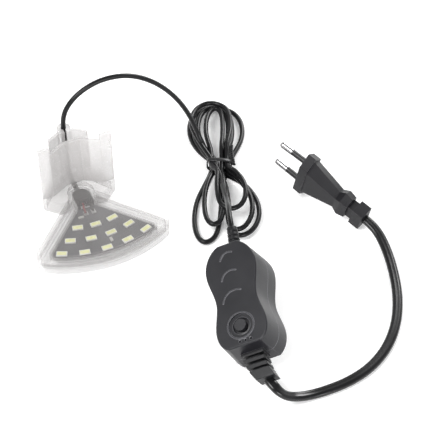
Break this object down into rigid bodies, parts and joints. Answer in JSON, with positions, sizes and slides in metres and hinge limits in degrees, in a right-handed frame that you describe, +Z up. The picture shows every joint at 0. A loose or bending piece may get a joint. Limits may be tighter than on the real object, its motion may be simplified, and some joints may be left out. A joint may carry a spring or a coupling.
{
  "type": "led aquarium light",
  "caption": "Clip-on LED lamp for a small aquarium: clear fan-shaped head, clear glass clip, cord with in-line push-button controller, flat mains lead and two-pin plug.",
  "frame": {"origin": "bottom centre of the lamp (head and clip), on the surface that it lies on", "axes": "+Z up with the LEDs facing up and the clip standing up; X along the clip's width; the fan-shaped head spreads towards -Y"},
  "size_m": [0.1916, 0.228, 0.0681],
  "materials": {
    "clear_plastic": "clear moulded plastic with polished faces and frosted edges",
    "board_dark": "dark solder-masked circuit board",
    "led_frame_white": "white moulded LED package",
    "led_phosphor": "yellow-green phosphor gel",
    "chip_ceramic": "chip resistor body",
    "solder": "tin solder",
    "core_red": "red core insulation",
    "core_black": "black core insulation",
    "sealant": "black sealing compound",
    "cord_black": "soft black cord jacket, satin",
    "tie_black": "black twist tie, wrinkled",
    "case_black": "charcoal moulded plastic with a fine texture",
    "button_black": "charcoal moulded plastic, smoother cap",
    "relief_black": "soft black moulded strain relief",
    "lead_black": "black flat lead jacket, satin",
    "switch_plastic": "switch housing",
    "driver_board_green": "green circuit board",
    "ferrite": "grey ferrite",
    "winding_copper": "copper winding under yellow tape",
    "capacitor_sleeve": "capacitor sleeve",
    "screw_steel": "zinc-plated steel",
    "plug_black": "moulded plug body, satin",
    "pin_metal": "nickel-plated pin",
    "sleeve_black": "insulating pin sleeve"
  },
  "bodies": {
    "lamp": {"head_base": "clear_plastic", "head_cover": "clear_plastic", "led_board": "board_dark", "led_packages": "led_frame_white", "led_phosphors": "led_phosphor", "board_resistors": "chip_ceramic", "solder_pads": "solder", "core_red": "core_red", "core_black": "core_black", "neck_sealant": "sealant", "clip_base": "clear_plastic", "clip_front_jaw": "clear_plastic", "clip_rear_jaw": "clear_plastic", "cord_in_clip": "cord_black", "dc_cord": "cord_black", "dc_cord_hank": "cord_black", "hank_tie": "tie_black", "dc_cord_tail": "cord_black", "mains_lead": "lead_black", "controller_base": "case_black", "controller_top": "case_black", "switch_body": "switch_plastic", "driver_board": "driver_board_green", "transformer_core": "ferrite", "transformer_winding": "winding_copper", "filter_capacitor": "capacitor_sleeve", "case_screws": "screw_steel", "dc_strain_relief": "relief_black", "mains_strain_relief": "relief_black", "plug_body": "plug_black", "plug_pin_upper": "pin_metal", "plug_pin_lower": "pin_metal", "pin_sleeve_upper": "sleeve_black", "pin_sleeve_lower": "sleeve_black"},
    "button": {"push_button": "button_black"}
  },
  "joints": [
    {"name": "push_button_press", "type": "slide", "parent": "lamp", "child": "button", "axis": [0.4809, 0.0916, -0.872], "range_m": [0, 0.0015], "stiffness_N_per_m": 400, "springref_m": -0.0003}
  ]
}
